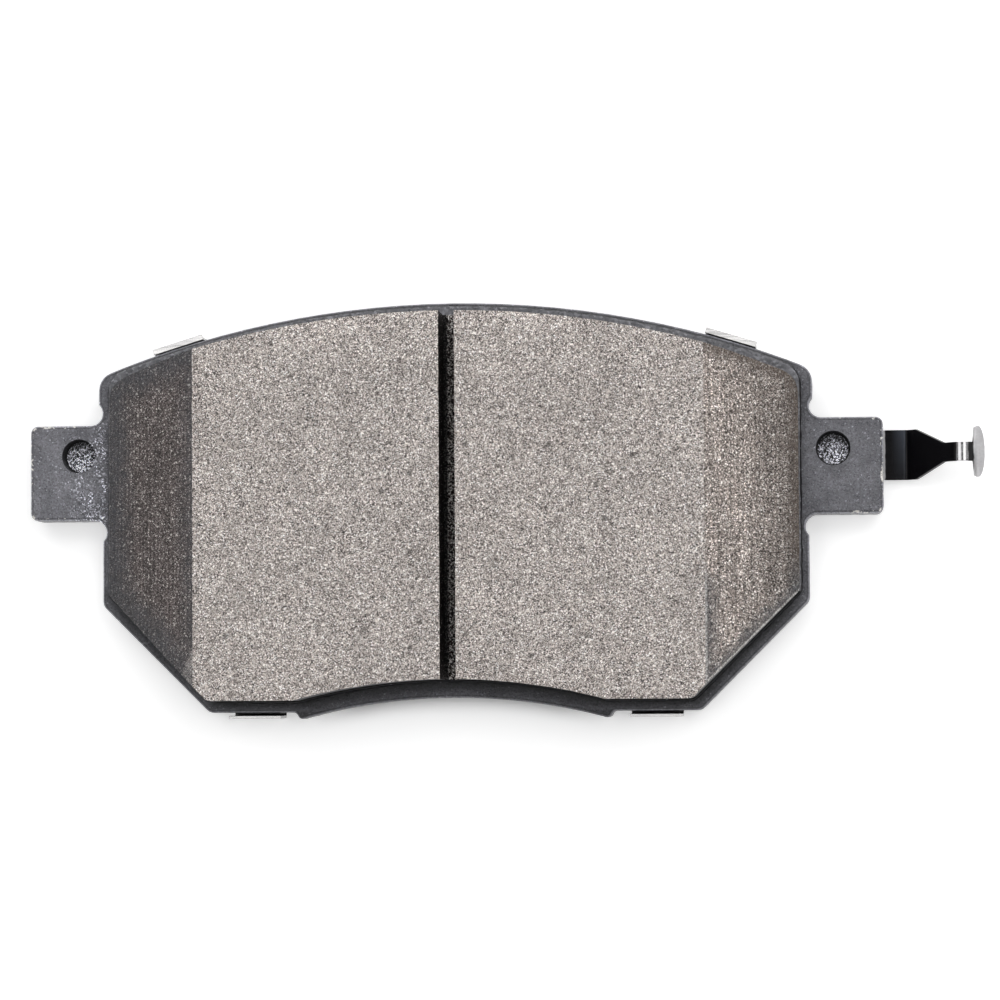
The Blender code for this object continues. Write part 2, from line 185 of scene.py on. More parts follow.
def sliced(shape, point, normal, clearOuter=False):
    # a flat cut across the whole shape, which can take away what lies beyond it
    return bmesh.ops.bisect_plane(
        shape, geom=shape.verts[:] + shape.edges[:] + shape.faces[:],
        plane_co=point, plane_no=normal, clear_outer=clearOuter, dist=hair,
    )


def along(axis):
    return Vector([float(i == axis) for i in range(3)])


def gridCut(shape, axis, step, low, high):
    # even cuts, so that the faces can be moved point by point
    for i in range(1, int((high - low) / step)):
        sliced(shape, along(axis) * (low + i * step), along(axis))


def settled(name, shape, finishes, smoothBelow=None):
    # the bmesh as an object in the scene, with its materials
    bmesh.ops.recalc_face_normals(shape, faces=shape.faces)
    mesh = bpy.data.meshes.new(name)
    shape.to_mesh(mesh)
    shape.free()
    for finish in finishes:
        mesh.materials.append(finish)
    if smoothBelow:
        mesh.shade_smooth()
        mesh.set_sharp_from_angle(angle=math.radians(smoothBelow))
    piece = bpy.data.objects.new(name, mesh)
    scene.collection.objects.link(piece)
    return piece


def combined(piece, operation, shape, endFinish, wallFinish):
    # cuts the shape from the piece or adds it, and keeps the tool's own materials on the new faces
    tool = settled("tool", shape, [endFinish, wallFinish])
    change = piece.modifiers.new("change", "BOOLEAN")
    change.object = tool
    change.operation = operation
    change.solver = "EXACT"
    change.material_mode = "TRANSFER"
    bpy.context.view_layer.update()
    mesh = bpy.data.meshes.new_from_object(piece.evaluated_get(bpy.context.evaluated_depsgraph_get()))
    piece.modifiers.clear()
    old = piece.data
    piece.data = mesh
    bpy.data.meshes.remove(old)
    toolMesh = tool.data
    bpy.data.objects.remove(tool)
    bpy.data.meshes.remove(toolMesh)
    mesh.name = piece.name


# materials

times = {"operation": "MULTIPLY"}
plus = {"operation": "ADD"}
scaled = {"operation": "SCALE"}
largest = {"operation": "MAXIMUM"}
blended = {"data_type": "RGBA"}        # colours of this Mix are its sockets 6 and 7
tinted = {"data_type": "RGBA", "blend_type": "MULTIPLY", 0: 1.0}


def fromHex(colour):
    # sRGB hex to the linear colour that a socket takes
    made = []
    for i in (1, 3, 5):
        part = int(colour[i:i + 2], 16) / 255
        made.append(part / 12.92 if part <= 0.04045 else ((part + 0.055) / 1.055) ** 2.4)
    return (*made, 1.0)


def addNode(tree, kind, settings=None, links=None):
    # one shader node: settings by property, socket name or socket number
    # links by socket, from another socket or from the first output that a node has in use
    made = tree.nodes.new("ShaderNode" + kind)
    for name, value in (settings or {}).items():
        if name == "ramp":
            stops = made.color_ramp.elements
            while len(stops) < len(value):
                stops.new(1.0)
            for stop, (place, colour) in zip(stops, value):
                stop.position = place
                stop.color = fromHex(colour) if isinstance(colour, str) else (colour, colour, colour, 1.0)
        elif name in ("range", "rangeMm"):
            # from and to, as plain numbers or in millimetres, then the values there if they aren't 0 and 1
            unit = mm if name == "rangeMm" else 1
            made.inputs["From Min"].default_value = value[0] * unit
            made.inputs["From Max"].default_value = value[1] * unit
            for socket, number in zip(("To Min", "To Max"), value[2:]):
                made.inputs[socket].default_value = number
        elif isinstance(name, str) and hasattr(made, name):
            setattr(made, name, value)
        else:
            made.inputs[name].default_value = value
    for name, source in (links or {}).items():
        if isinstance(source, bpy.types.Node):
            source = next(output for output in source.outputs if output.enabled)
        tree.links.new(made.inputs[name], source)
    return made


def newTree(name):
    made = bpy.data.materials.new(name)
    made.use_nodes = True
    made.node_tree.nodes.clear()
    return made, made.node_tree


def perMm(size):
    # texture scale for a pattern whose features are this many millimetres
    return 1 / (size * mm)


def shaded(tree, place, shades):
    # one number per point from noises of (size in mm, share), multiplied together; a size can differ by axis
    level = None
    for size, share in shades:
        sizes = size if isinstance(size, tuple) else (size, size, size)
        stretched = addNode(tree, "Mapping", {"Scale": tuple(perMm(s) for s in sizes)}, {"Vector": place})
        cloud = addNode(tree, "TexNoise", {"Scale": 1.0, "Detail": 3.0}, {"Vector": stretched})
        swing = {"clamp": False, "range": (0.3, 0.7, 1 - share, 1 + share)}
        part = addNode(tree, "MapRange", swing, {"Value": cloud})
        if level is not None:
            part = addNode(tree, "Math", times, {0: level, 1: part})
        level = part
    return level


def frictionMix(name, look):
    # moulded friction mix: hard grains of many greys in a dull binder, each catching the light by itself
    made, tree = newTree(name)
    place = addNode(tree, "TexCoord").outputs["Object"]
    axes = addNode(tree, "SeparateXYZ", None, {"Vector": place}).outputs
    grain = addNode(tree, "TexVoronoi", {"Scale": perMm(look["grain"])}, {"Vector": place})
    chance = addNode(tree, "SeparateColor", None, {"Color": grain.outputs["Color"]}).outputs
    tone = addNode(tree, "ValToRGB", {"ramp": look["tones"]}, {"Fac": chance["Red"]})
    level = shaded(tree, place, look["shades"])
    if "stripe" in look:
        # even lines that the dressed wheel leaves across the chamfer; a wave runs 20 radians per unit
        pitch, share = look["stripe"]
        waves = {"Scale": 0.1 * math.pi / (pitch * mm), "Distortion": 0.8, "Detail": 2.0}
        wave = addNode(tree, "TexWave", waves, {"Vector": place})
        swing = {"range": (0, 1, 1 - share, 1 + share)}
        stripe = addNode(tree, "MapRange", swing, {"Value": wave.outputs["Fac"]})
        level = addNode(tree, "Math", times, {0: level, 1: stripe})
    colour = addNode(tree, "VectorMath", scaled, {0: tone, "Scale": level})
    # a few soft lumps of coke, darker than the rest
    lump = addNode(tree, "TexVoronoi", {"Scale": perMm(look["lump"])}, {"Vector": place})
    lumpChance = addNode(tree, "SeparateColor", None, {"Color": lump.outputs["Color"]})
    chosen = addNode(tree, "MapRange", {"range": (0.955, 0.965)}, {"Value": lumpChance.outputs["Red"]})
    inside = addNode(tree, "MapRange", {"range": (0.42, 0.15, 0, 0.7)}, {"Value": lump.outputs["Distance"]})
    dark = addNode(tree, "Math", times, {0: chosen, 1: inside})
    colour = addNode(tree, "Mix", blended | {7: fromHex(look["lumpTone"])}, {0: dark, 6: colour})
    # steel and brass fibres, cut through by the grinding
    fibre = addNode(tree, "TexVoronoi", {"Scale": perMm(look["fibre"])}, {"Vector": place})
    fibreChance = addNode(tree, "SeparateColor", None, {"Color": fibre.outputs["Color"]})
    rare = {"range": (1 - look["fibreShare"], 1 - 0.6 * look["fibreShare"])}
    cut = addNode(tree, "MapRange", rare, {"Value": fibreChance.outputs["Red"]})
    colour = addNode(tree, "Mix", blended | {7: fromHex(look["fibreTone"])}, {0: cut, 6: colour})
    # tone along one axis: dust stays where the wheel bit deeper into a chamfer, the slot floor is darker
    # beside its left wall as painted shade, and the face is lighter towards its top as painted light
    for axis, start, end, first, last in look["fades"]:
        reach = addNode(tree, "MapRange", {"rangeMm": (start, end, first, last)}, {"Value": axes[axis]})
        colour = addNode(tree, "VectorMath", scaled, {0: colour, "Scale": reach})
    if "worn" in look:
        # the wheel ran past the chamfer's end and left the face's own grain there
        worn = look["worn"]
        widening = {"rangeMm": (*worn["below"], 0, worn["width"] * mm)}
        width = addNode(tree, "MapRange", widening, {"Value": axes["Y"]})
        ragged = addNode(tree, "TexNoise", {"Scale": perMm(worn["ragged"]), "Detail": 4.0}, {"Vector": place})
        wavy = {"operation": "MULTIPLY_ADD", 1: worn["ragged"] * mm}
        reach = addNode(tree, "Math", wavy, {0: ragged, 2: axes["X"]})
        reach = addNode(tree, "Math", plus, {0: reach, 1: width})
        over = addNode(tree, "MapRange", {"rangeMm": worn["line"]}, {"Value": reach})
        bare = addNode(tree, "ValToRGB", {"ramp": worn["tones"]}, {"Fac": chance["Red"]})
        colour = addNode(tree, "Mix", blended, {0: over, 6: colour, 7: bare})
    if "mist" in look:
        # paint mist that drifted over the ground edges, thin enough for the grain to show
        mist = look["mist"]
        veil = addNode(tree, "Attribute", {"attribute_name": "mist"}).outputs["Fac"]
        clouds = {"Scale": perMm(mist["drift"]), "Detail": 6.0, "Roughness": 0.7}
        drift = addNode(tree, "TexNoise", clouds, {"Vector": place})
        amount = addNode(tree, "Math", plus, {0: veil, 1: drift})
        cover = addNode(tree, "MapRange", {"range": (0.62, 1.25, 0, mist["share"])}, {"Value": amount})
        dusted = addNode(tree, "MapRange", {"range": (0, 1, 0.3, 1.7)}, {"Value": chance["Green"]})
        lower = addNode(tree, "MapRange", {"rangeMm": look["lowerPart"]}, {"Value": axes["Y"]})
        shades = blended | {6: fromHex(mist["upper"]), 7: fromHex(mist["lower"])}
        shade = addNode(tree, "Mix", shades, {0: lower})
        dusted = addNode(tree, "VectorMath", scaled, {0: shade, "Scale": dusted})
        colour = addNode(tree, "Mix", blended, {0: cover, 6: colour, 7: dusted})
    if "fresh" in look:
        # a thin line of fresh grains where the wheel met the mould wall
        # and loose ones where chamfer and face meet
        fresh = look["fresh"]
        out = addNode(tree, "VectorMath", {"operation": "DOT_PRODUCT", 1: fresh["facing"]}, {0: place})
        begin, full = (fresh["wallAt"] - depth * mm for depth in fresh["depth"])
        line = addNode(tree, "MapRange", {"range": (begin, full, 0, 0.65)}, {"Value": out})
        near = addNode(tree, "MapRange", {"rangeMm": (*fresh["faceEdge"], 0, 0.6)}, {"Value": axes["X"]})
        lower = addNode(tree, "MapRange", {"rangeMm": look["lowerPart"]}, {"Value": axes["Y"]})
        near = addNode(tree, "Math", times, {0: near, 1: lower})
        line = addNode(tree, "Math", largest, {0: line, 1: near})
        some = addNode(tree, "MapRange", {"range": (0.35, 0.6, 0.12, 1)}, {"Value": chance["Green"]})
        line = addNode(tree, "Math", times, {0: line, 1: some})
        colour = addNode(tree, "Mix", blended | {7: fromHex(fresh["tone"])}, {0: line, 6: colour})
    if "edge" in look:
        # painted shade: a dark ragged line along the ledge's outer edge, for the crevice where the underlayer
        # meets the plate
        rim = addNode(tree, "Attribute", {"attribute_name": "rim"}).outputs["Fac"]
        torn = addNode(tree, "TexNoise", {"Scale": perMm(0.9), "Detail": 3.0}, {"Vector": place})
        both = addNode(tree, "Math", times, {0: rim, 1: torn})
        line = addNode(tree, "MapRange", {"range": (0.26, 0.42)}, {"Value": both})
        colour = addNode(tree, "Mix", blended | {7: fromHex(look["edge"])}, {0: line, 6: colour})
    relief = {"Strength": look["bump"], "Distance": look["relief"] * mm}
    bump = addNode(tree, "Bump", relief, {"Height": chance["Blue"]})
    surface = {"Roughness": look["roughness"], "IOR": 1.5, "Specular IOR Level": look["gloss"]}
    shader = addNode(tree, "BsdfPrincipled", surface, {"Base Color": colour, "Normal": bump})
    addNode(tree, "OutputMaterial", None, {"Surface": shader})
    return made


def sprayedSteel(name, look):
    # black spray paint on punched steel: fine orange peel and dust nibs, whose brightest specks can be
    # painted glints, with painted light and dark bands on the rolled edges, and knocked bare at corners
    made, tree = newTree(name)
    place = addNode(tree, "TexCoord").outputs["Object"]
    axes = addNode(tree, "SeparateXYZ", None, {"Vector": place}).outputs
    waves = {"Scale": perMm(look["peel"]), "Detail": 3.0, "Distortion": 0.8}
    peel = addNode(tree, "TexNoise", waves, {"Vector": place})
    cloud = addNode(tree, "TexNoise", {"Scale": perMm(look["cloud"]), "Detail": 4.0}, {"Vector": place})
    nib = addNode(tree, "TexVoronoi", {"Scale": perMm(look["nib"])}, {"Vector": place})
    chance = addNode(tree, "SeparateColor", None, {"Color": nib.outputs["Color"]}).outputs
    speck = addNode(tree, "ValToRGB", {"ramp": look["nibsAndGlints"]}, {"Fac": chance["Red"]})
    if "rubbed" in look:
        # dust rubbed into the paint beside the lining, its specks lit up as painted glints far brighter than
        # white
        rubbed = look["rubbed"]
        where = addNode(tree, "MapRange", {"rangeMm": rubbed["across"]}, {"Value": axes["X"]})
        where = addNode(tree, "ValToRGB", {"ramp": rubbed["share"]}, {"Fac": where})
        for height in (rubbed["from"], rubbed["to"]):
            tall = addNode(tree, "MapRange", {"rangeMm": height}, {"Value": axes["Y"]})
            where = addNode(tree, "Math", times, {0: where, 1: tall})
        patch = addNode(tree, "TexNoise", {"Scale": perMm(rubbed["patch"]), "Detail": 4.0}, {"Vector": place})
        some = addNode(tree, "MapRange", {"range": (0.38, 0.52)}, {"Value": patch})
        where = addNode(tree, "Math", times, {0: where, 1: some})
        paintedGlints = addNode(tree, "ValToRGB", {"ramp": rubbed["paintedGlints"]}, {"Fac": chance["Red"]})
        speck = addNode(tree, "Mix", blended, {0: where, 6: speck, 7: paintedGlints})
    paint = addNode(tree, "ValToRGB", {"ramp": look["tones"]}, {"Fac": cloud})
    # painted light and shade on the rolled edges: the rim rings lighter with a darker line inside them, for
    # what the paint there reflects
    rim = addNode(tree, "Attribute", {"attribute_name": "rim"}).outputs["Fac"]
    paintedSheen = addNode(tree, "ValToRGB", {"ramp": look["edge"]}, {"Fac": rim})
    colour = addNode(tree, "Mix", tinted, {6: paint, 7: speck})
    colour = addNode(tree, "Mix", tinted, {6: colour, 7: paintedSheen})
    if "fall" in look:
        # painted shade and light: the floor darker on the side that the pierced wall shades, lighter on the
        # other
        fall = addNode(tree, "MapRange", {"range": (*look["fall"], 0.3, 1.35)}, {"Value": axes["Y"]})
        colour = addNode(tree, "VectorMath", scaled, {0: colour, "Scale": fall})
    # painted light and shade: the ears lighter than the plate between them, the left ear most, for the sheen
    # their paint catches
    across = addNode(tree, "MapRange", {"rangeMm": (-look["reach"], look["reach"])}, {"Value": axes["X"]})
    earLight = addNode(tree, "ValToRGB", {"ramp": look["earLight"]}, {"Fac": across})
    colour = addNode(tree, "Mix", tinted, {6: colour, 7: earLight})
    # painted shade: the paint darker towards the lining's lower wall, in the corner that the lining shades
    liningShade = look["liningShade"]
    aside = addNode(tree, "Math", {"operation": "ABSOLUTE"}, {0: axes["X"]})
    flat = addNode(tree, "VectorMath", {"operation": "MULTIPLY", 1: (1, 1, 0)}, {0: place})
    fromArc = addNode(tree, "VectorMath", {"operation": "DISTANCE", 1: (0, liningShade["middle"], 0)}, {0: flat})
    fromCorner = addNode(tree, "Math", {"operation": "SUBTRACT"}, {0: axes["Y"], 1: aside})
    inside = None
    for away, edge, width in (
        (fromArc, liningShade["arc"], liningShade["arcWidth"]),
        (axes["Y"], liningShade["flat"], liningShade["flatWidth"]),
        (fromCorner, -liningShade["corner"], liningShade["cornerWidth"] * math.sqrt(2)),
    ):
        part = addNode(tree, "MapRange", {"range": (edge, edge + width)}, {"Value": away})
        if inside is not None:
            part = addNode(tree, "Math", {"operation": "MINIMUM"}, {0: inside, 1: part})
        inside = part
    shade = addNode(tree, "ValToRGB", {"ramp": liningShade["tones"]}, {"Fac": inside})
    below = addNode(tree, "MapRange", {"rangeMm": liningShade["from"]}, {"Value": axes["Y"]})
    colour = addNode(tree, "Mix", tinted, {0: below, 6: colour, 7: shade})
    # knocks take the paint off the rim, most at the ends of the ears
    chips = {"Scale": perMm(look["chip"]), "Detail": 4.0, "Roughness": 0.6}
    knock = addNode(tree, "TexNoise", chips, {"Vector": place})
    worn = addNode(tree, "MapRange", {"range": (0.2, 0.45)}, {"Value": rim})
    outer = addNode(tree, "MapRange", {"rangeMm": (*look["chipSpan"], 0.75, 1)}, {"Value": aside})
    worn = addNode(tree, "Math", times, {0: worn, 1: outer})
    worn = addNode(tree, "Math", times, {0: worn, 1: knock})
    bare = addNode(tree, "MapRange", {"range": (look["chipFrom"], look["chipFrom"] + 0.03)}, {"Value": worn})
    colour = addNode(tree, "Mix", blended | {7: fromHex(look["bareTone"])}, {0: bare, 6: colour})
    sheens = {"range": (0.3, 0.7, look["roughness"] - 0.06, look["roughness"] + 0.06)}
    gloss = addNode(tree, "MapRange", sheens, {"Value": cloud})
    grit = {"operation": "MULTIPLY_ADD", 1: look["nibHeight"]}
    height = addNode(tree, "Math", grit, {0: chance["Green"], 2: peel})
    relief = {"Strength": look["bump"], "Distance": look["relief"] * mm}
    bump = addNode(tree, "Bump", relief, {"Height": height})
    shader = addNode(tree, "BsdfPrincipled", {"IOR": 1.5},
                     {"Base Color": colour, "Metallic": bare, "Roughness": gloss, "Normal": bump})
    addNode(tree, "OutputMaterial", None, {"Surface": shader})
    return made


def rolledSteel(name, look):
    # cold-rolled strip: bright metal with fine lines along the rolling direction and a haze of handling marks
    made, tree = newTree(name)
    place = addNode(tree, "TexCoord").outputs["Object"]
    stretch = tuple(perMm(size) for size in look["line"])
    stretched = addNode(tree, "Mapping", {"Scale": stretch}, {"Vector": place})
    line = addNode(tree, "TexNoise", {"Scale": 1.0, "Detail": 3.0}, {"Vector": stretched})
    haze = addNode(tree, "TexNoise", {"Scale": perMm(look["haze"]), "Detail": 4.0}, {"Vector": place})
    colour = addNode(tree, "ValToRGB", {"ramp": look["tones"]}, {"Fac": haze})
    streaks = {"range": (0.35, 0.65, 1 - look["streak"], 1 + 0.5 * look["streak"])}
    streak = addNode(tree, "MapRange", streaks, {"Value": line})
    colour = addNode(tree, "VectorMath", scaled, {0: colour, "Scale": streak})
    gloss = addNode(tree, "MapRange", {"range": (0.3, 0.7, *look["roughness"])}, {"Value": line})
    relief = {"Strength": look["bump"], "Distance": look["relief"] * mm}
    bump = addNode(tree, "Bump", relief, {"Height": line})
    bright = {}
    if "oxide" in look:
        # black from the tempering oven, rubbed bright towards the tip and where the ear's edge scrapes it
        oxide = look["oxide"]
        axes = addNode(tree, "SeparateXYZ", None, {"Vector": place}).outputs
        wavy = {"operation": "MULTIPLY_ADD", 1: oxide["ragged"] * mm, 2: -0.5 * oxide["ragged"] * mm}
        ragged = addNode(tree, "Math", wavy, {0: haze})
        reach = addNode(tree, "Math", plus, {0: axes["X"], 1: ragged})
        span = addNode(tree, "MapRange", {"rangeMm": oxide["span"]}, {"Value": reach})
        rubbed = addNode(tree, "ValToRGB", {"ramp": oxide["rubbed"]}, {"Fac": span})
        # painted sheen: a bluish grey laid over the black base towards the bend, most at its upper edge
        sheenX = addNode(tree, "MapRange", {"rangeMm": oxide["sheenAcross"]}, {"Value": axes["X"]})
        sheenY = addNode(tree, "MapRange", {"rangeMm": (*oxide["sheenUp"], 0.12, 1)}, {"Value": axes["Y"]})
        atBase = addNode(tree, "Math", {"operation": "LESS_THAN", 1: oxide["sheenAcross"][1] * mm}, {0: axes["X"]})
        paintedSheen = addNode(tree, "Math", times, {0: sheenX, 1: sheenY})
        paintedSheen = addNode(tree, "Math", times, {0: paintedSheen, 1: atBase})
        oxideAndSheen = blended | {6: fromHex(oxide["tone"]), 7: fromHex(oxide["sheenTone"])}
        black = addNode(tree, "Mix", oxideAndSheen, {0: paintedSheen})
        colour = addNode(tree, "Mix", blended, {0: rubbed, 6: black, 7: colour})
        # the head is scuffed matt by the disc, and the root by the ear
        scuff = addNode(tree, "ValToRGB", {"ramp": oxide["scuff"]}, {"Fac": span})
        gloss = addNode(tree, "Math", largest, {0: gloss, 1: scuff})
        bright = {"Metallic": rubbed}
    shader = addNode(tree, "BsdfPrincipled", {"Metallic": 1.0, "Specular IOR Level": look["sheen"]},
                     {"Base Color": colour, "Roughness": gloss, "Normal": bump} | bright)
    addNode(tree, "OutputMaterial", None, {"Surface": shader})
    return made


# friction blocks: ground face, coarser ground chamfer, sprayed mould walls and a sawn slot
# the real grain is finer than a pixel in places, so it is drawn about 0.15 mm wide to show

faceLook = {
    "grain": 0.145, "lump": 1.5, "lumpTone": "#3a3634",
    "fibre": 0.24, "fibreShare": 0.035, "fibreTone": "#fbf6f1",
    "tones": [(0.0, "#161211"), (0.14, "#554e4b"), (0.32, "#877e7a"), (0.5, "#a79e99"), (0.7, "#c0b7b1"),
              (0.88, "#e4dbd4"), (1.0, "#ffffff")],
    "shades": [(0.35, 0.1), (1.6, 0.06), (6.0, 0.085), (18.0, 0.075)],
    # the face lighter towards its top: painted light
    "fades": [("Y", 14.0, 24.0, 1.0, 1.09)],        # axis, from and to in mm, tones there
    "bump": 0.5, "relief": 0.05, "roughness": 0.8, "gloss": 0.5,
}
chamferLook = dict(
    faceLook, grain=0.15, lowerPart=(-14.0, -20.0),
    shades=[(0.35, 0.12), ((0.45, 12.0, 4.0), 0.24), ((1.8, 16.0, 6.0), 0.13), (5.0, 0.09)],
)
rightFaces = nodes["friction_block_right"].data.polygons
cornerWall = max((f for f in rightFaces if f.normal.x > 0.5 and f.normal.y < -0.5), key=lambda f: f.area)
# painted light: the right chamfer's tones paler, for the light that falls on its slope
chamferRightLook = dict(
    chamferLook, fibreShare=0.03, stripe=(0.66, 0.12), fades=[("X", 46.0, 56.4, 1.16, 0.56)],
    mist={"upper": "#50463f", "lower": "#44474c", "share": 0.65, "drift": 2.2},
    fresh={"tone": "#e6e3e0", "depth": (0.38, 0.28), "faceEdge": (41.75, 41.65),
           "facing": tuple(cornerWall.normal), "wallAt": cornerWall.center.dot(cornerWall.normal)},
    tones=[(0.0, "#0b0807"), (0.16, "#3a322e"), (0.35, "#6e6560"), (0.55, "#897f79"), (0.75, "#a29791"),
           (0.9, "#cdc3bb"), (1.0, "#fffaf5")],
)
# painted shade: the left chamfer's tones darker, for the shade on its slope
chamferLeftLook = dict(
    chamferLook, fibreShare=0.02, fibreTone="#cfcac4", stripe=(0.66, 0.2),
    fades=[("X", -44.0, -56.4, 1.0, 0.85)],
    mist={"upper": "#404247", "lower": "#404246", "share": 0.65, "drift": 2.2},
    worn={"tones": faceLook["tones"], "below": (-28.5, -34.0), "width": 2.4, "ragged": 1.2,
          "line": (-40.8, -40.5)},
    tones=[(0.0, "#110f0e"), (0.16, "#2d2726"), (0.4, "#4c4443"), (0.62, "#5d5553"), (0.85, "#756c6a"),
           (0.96, "#a59d9a"), (1.0, "#e0d9d5")],
)
wallLook = dict(
    faceLook, grain=0.5, fibreShare=0.01, fibreTone="#6f6f72", fades=[],
    tones=[(0.0, "#1d1c1e"), (0.3, "#303032"), (0.7, "#3b3b3e"), (1.0, "#57575a")],
    shades=[(0.6, 0.15), (4.0, 0.1)], roughness=0.6, bump=0.7, relief=0.12,
)
slotLook = dict(
    faceLook, grain=0.14, fibre=0.15, fibreShare=0.34, fibreTone="#fffaf6",
    # painted shade: the slot floor darkened beside its left wall
    fades=[("X", -0.4, -0.8, 1.0, 0.08)],
    tones=[(0.0, "#050303"), (0.45, "#1c1514"), (0.8, "#42342f"), (1.0, "#b5ada9")],
    shades=[(0.5, 0.3), (3.0, 0.15)], roughness=0.7, gloss=0.2, bump=0.8, relief=0.1,
)
# painted shade: the slot's sawn walls near black, for the shade inside the slot
sawnLook = dict(
    slotLook, fibreShare=0.01, fades=[], gloss=0.1,
    tones=[(0.0, "#050404"), (0.8, "#1a1515"), (1.0, "#4a4240")],
)
frictionFace = frictionMix("friction_mix_ground_face", faceLook)
frictionChamferRight = frictionMix("friction_mix_ground_chamfer_pale", chamferRightLook)
frictionChamferLeft = frictionMix("friction_mix_ground_chamfer_dark", chamferLeftLook)
frictionWall = frictionMix("friction_mix_moulded_wall", wallLook)
frictionSawn = frictionMix("friction_mix_sawn_slot_painted_shade", sawnLook)

block = {
    "cut": 0.7 * mm, "rings": 10, "sink": 0.02 * mm, "still": 0.3 * mm,
    "slotHalf": 1.4 * mm, "lineX": 41.4 * mm,
    "ripple": 0.012 * mm, "rippleSize": 1.3 * mm,
    "pit": 0.10 * mm, "pitSize": 1.0 * mm, "pitFrom": 0.42, "pitSpan": 0.3, "pitShift": Vector((7, 3, 1)),
    "crumble": 0.11 * mm, "smallBite": 0.8 * mm, "longBite": 3 * mm,
}
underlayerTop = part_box("underlayer")[1].z + 0.1 * mm        # moulded to the blocks, with no gap to see


def frictionBlock(name, node, chamferFinish, mist):
    low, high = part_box(node)
    points = resampled(loopsAt(node, low.z)[0], block["cut"])
    border = [p for p in points if abs(p.x) > block["slotHalf"]]
    foot = underlayerTop - block["sink"]
    rises = [foot + (high.z - foot) * i / (block["rings"] - 1) for i in range(block["rings"])]
    shape = loft(points, [(0, z, 0, 0) for z in rises])
    slopes = [f for f in nodes[node].data.polygons if 0.5 < f.normal.z < 0.97]
    slope = max(slopes, key=lambda f: f.area)
    cut = sliced(shape, slope.center, slope.normal, clearOuter=True)
    openEdges = [e for e in cut["geom_cut"] if isinstance(e, bmesh.types.BMEdge)]
    bmesh.ops.holes_fill(shape, edges=openEdges, sides=0)
    for axis in (0, 1):
        gridCut(shape, axis, block["cut"], low[axis], high[axis])
    bmesh.ops.recalc_face_normals(shape, faces=shape.faces)
    # 0 ground face, 1 chamfer, 2 mould wall, 3 sawn wall of the slot
    for face in shape.faces:
        normal = face.normal
        middle = face.calc_center_median()
        if normal.z > 0.98:
            face.material_index = 0
        elif normal.z > 0.5:
            face.material_index = 1
        elif abs(normal.x) > 0.9 and abs(middle.x) < block["slotHalf"]:
            face.material_index = 3
        else:
            face.material_index = 2
    veil = shape.verts.layers.float.new("mist")
    moves = {}
    for vertex in shape.verts:
        kinds = {f.material_index for f in vertex.link_faces}
        spot = vertex.co
        push = Vector((0, 0, 0))
        if kinds & {0, 1}:
            push.z += block["ripple"] * noise.noise(spot / block["rippleSize"])
            hole = noise.noise(spot / block["pitSize"] + block["pitShift"])
            if hole > block["pitFrom"]:
                push.z -= block["pit"] * (hole - block["pitFrom"]) / block["pitSpan"]
        if len(kinds) > 1:
            # a brittle edge crumbles inwards, a little at each grain
            bite = 0.5 + 0.5 * noise.noise(spot / block["smallBite"])
            bite += 0.4 * noise.noise(spot / block["longBite"])
            push -= vertex.normal * block["crumble"] * max(0, bite)
        if 1 in kinds:
            aside = min((p - spot.xy).length for p in border)
            fromLine = abs(spot.x) - block["lineX"]
            lineMist = 0
            if spot.y < mist["lineBelow"] * mm:
                lineMist = mist["line"] * (1 - fromLine / (mist["lineWidth"] * mm))
            vertex[veil] = max(1 - aside / (mist["edge"] * mm), lineMist, 0)
        moves[vertex] = push
    for vertex, push in moves.items():
        if vertex.co.z > foot + block["still"]:
            vertex.co += push
    piece = settled(name, shape, [frictionFace, chamferFinish, frictionWall, frictionSawn], smoothBelow=25)
    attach(piece, "pad")
    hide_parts(node)
    return piece


# widths of the paint mist from the edge and from the chamfer's upper line, and where that line has it
frictionBlock("moulded_block_left", "friction_block_left", frictionChamferLeft,
              {"edge": 6.0, "line": 0.6, "lineWidth": 4.0, "lineBelow": 99})
frictionBlock("moulded_block_right", "friction_block_right", frictionChamferRight,
              {"edge": 2.6, "line": 0.8, "lineWidth": 3.6, "lineBelow": -18})
print("friction blocks made")


# underlayer: a softer layer that stands out as a ledge and ran out over the plate when it was pressed

layer = {
    "step": 0.5 * mm, "foot": 0.16 * mm, "wave": 0.12 * mm, "edge": 0.4 * mm,
    "footRings": [(1, -0.05), (0.55, 0.12), (0.15, 0.35), (0, 0.8)],        # share of the foot, mm up
    "postEdge": 0.4 * mm, "postIn": 0.5 * mm,
}
underlayerSprayed = frictionMix("underlayer_mix_sprayed", dict(
    wallLook, grain=0.4, tones=[(0.0, "#4e4e52"), (0.4, "#646468"), (0.8, "#707075"), (1.0, "#8e8e93")],
    edge="#17171a", bump=0.5, relief=0.08, roughness=0.5))
underlayerSawn = frictionMix("underlayer_mix_sawn_slot", slotLook)
# painted shade: near black for the underlayer's lower walls and foot, which lie in shade
underlayerShade = frictionMix("underlayer_mix_painted_shade", dict(
    wallLook, tones=[(0.0, "#060607"), (0.6, "#0f0f11"), (1.0, "#1e1e22")], fibreShare=0.004, gloss=0.15))
low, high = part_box("underlayer")
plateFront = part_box("backing_plate")[1].z
wave = layer["wave"]
edge = layer["edge"]
profile = [(out * layer["foot"], plateFront + up * mm, wave, 1) for out, up in layer["footRings"]]
profile += [(0, underlayerTop - edge, wave, 1), (-0.3 * edge, underlayerTop - 0.3 * edge, wave, 0.6)]
profile += [(-edge, underlayerTop, 0.5 * wave, 0)]
layerShape = loft(resampled(loopsAt("underlayer", high.z)[0], layer["step"]), profile)
blockFoot = loopsAt("friction_block_right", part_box("friction_block_right")[0].z)[0]
slotEnds = [p.y for p in blockFoot if p.x < block["slotHalf"]]
slotSides = ((-block["slotHalf"], 0), (block["slotHalf"], 0), (max(slotEnds), 1), (min(slotEnds), 1))
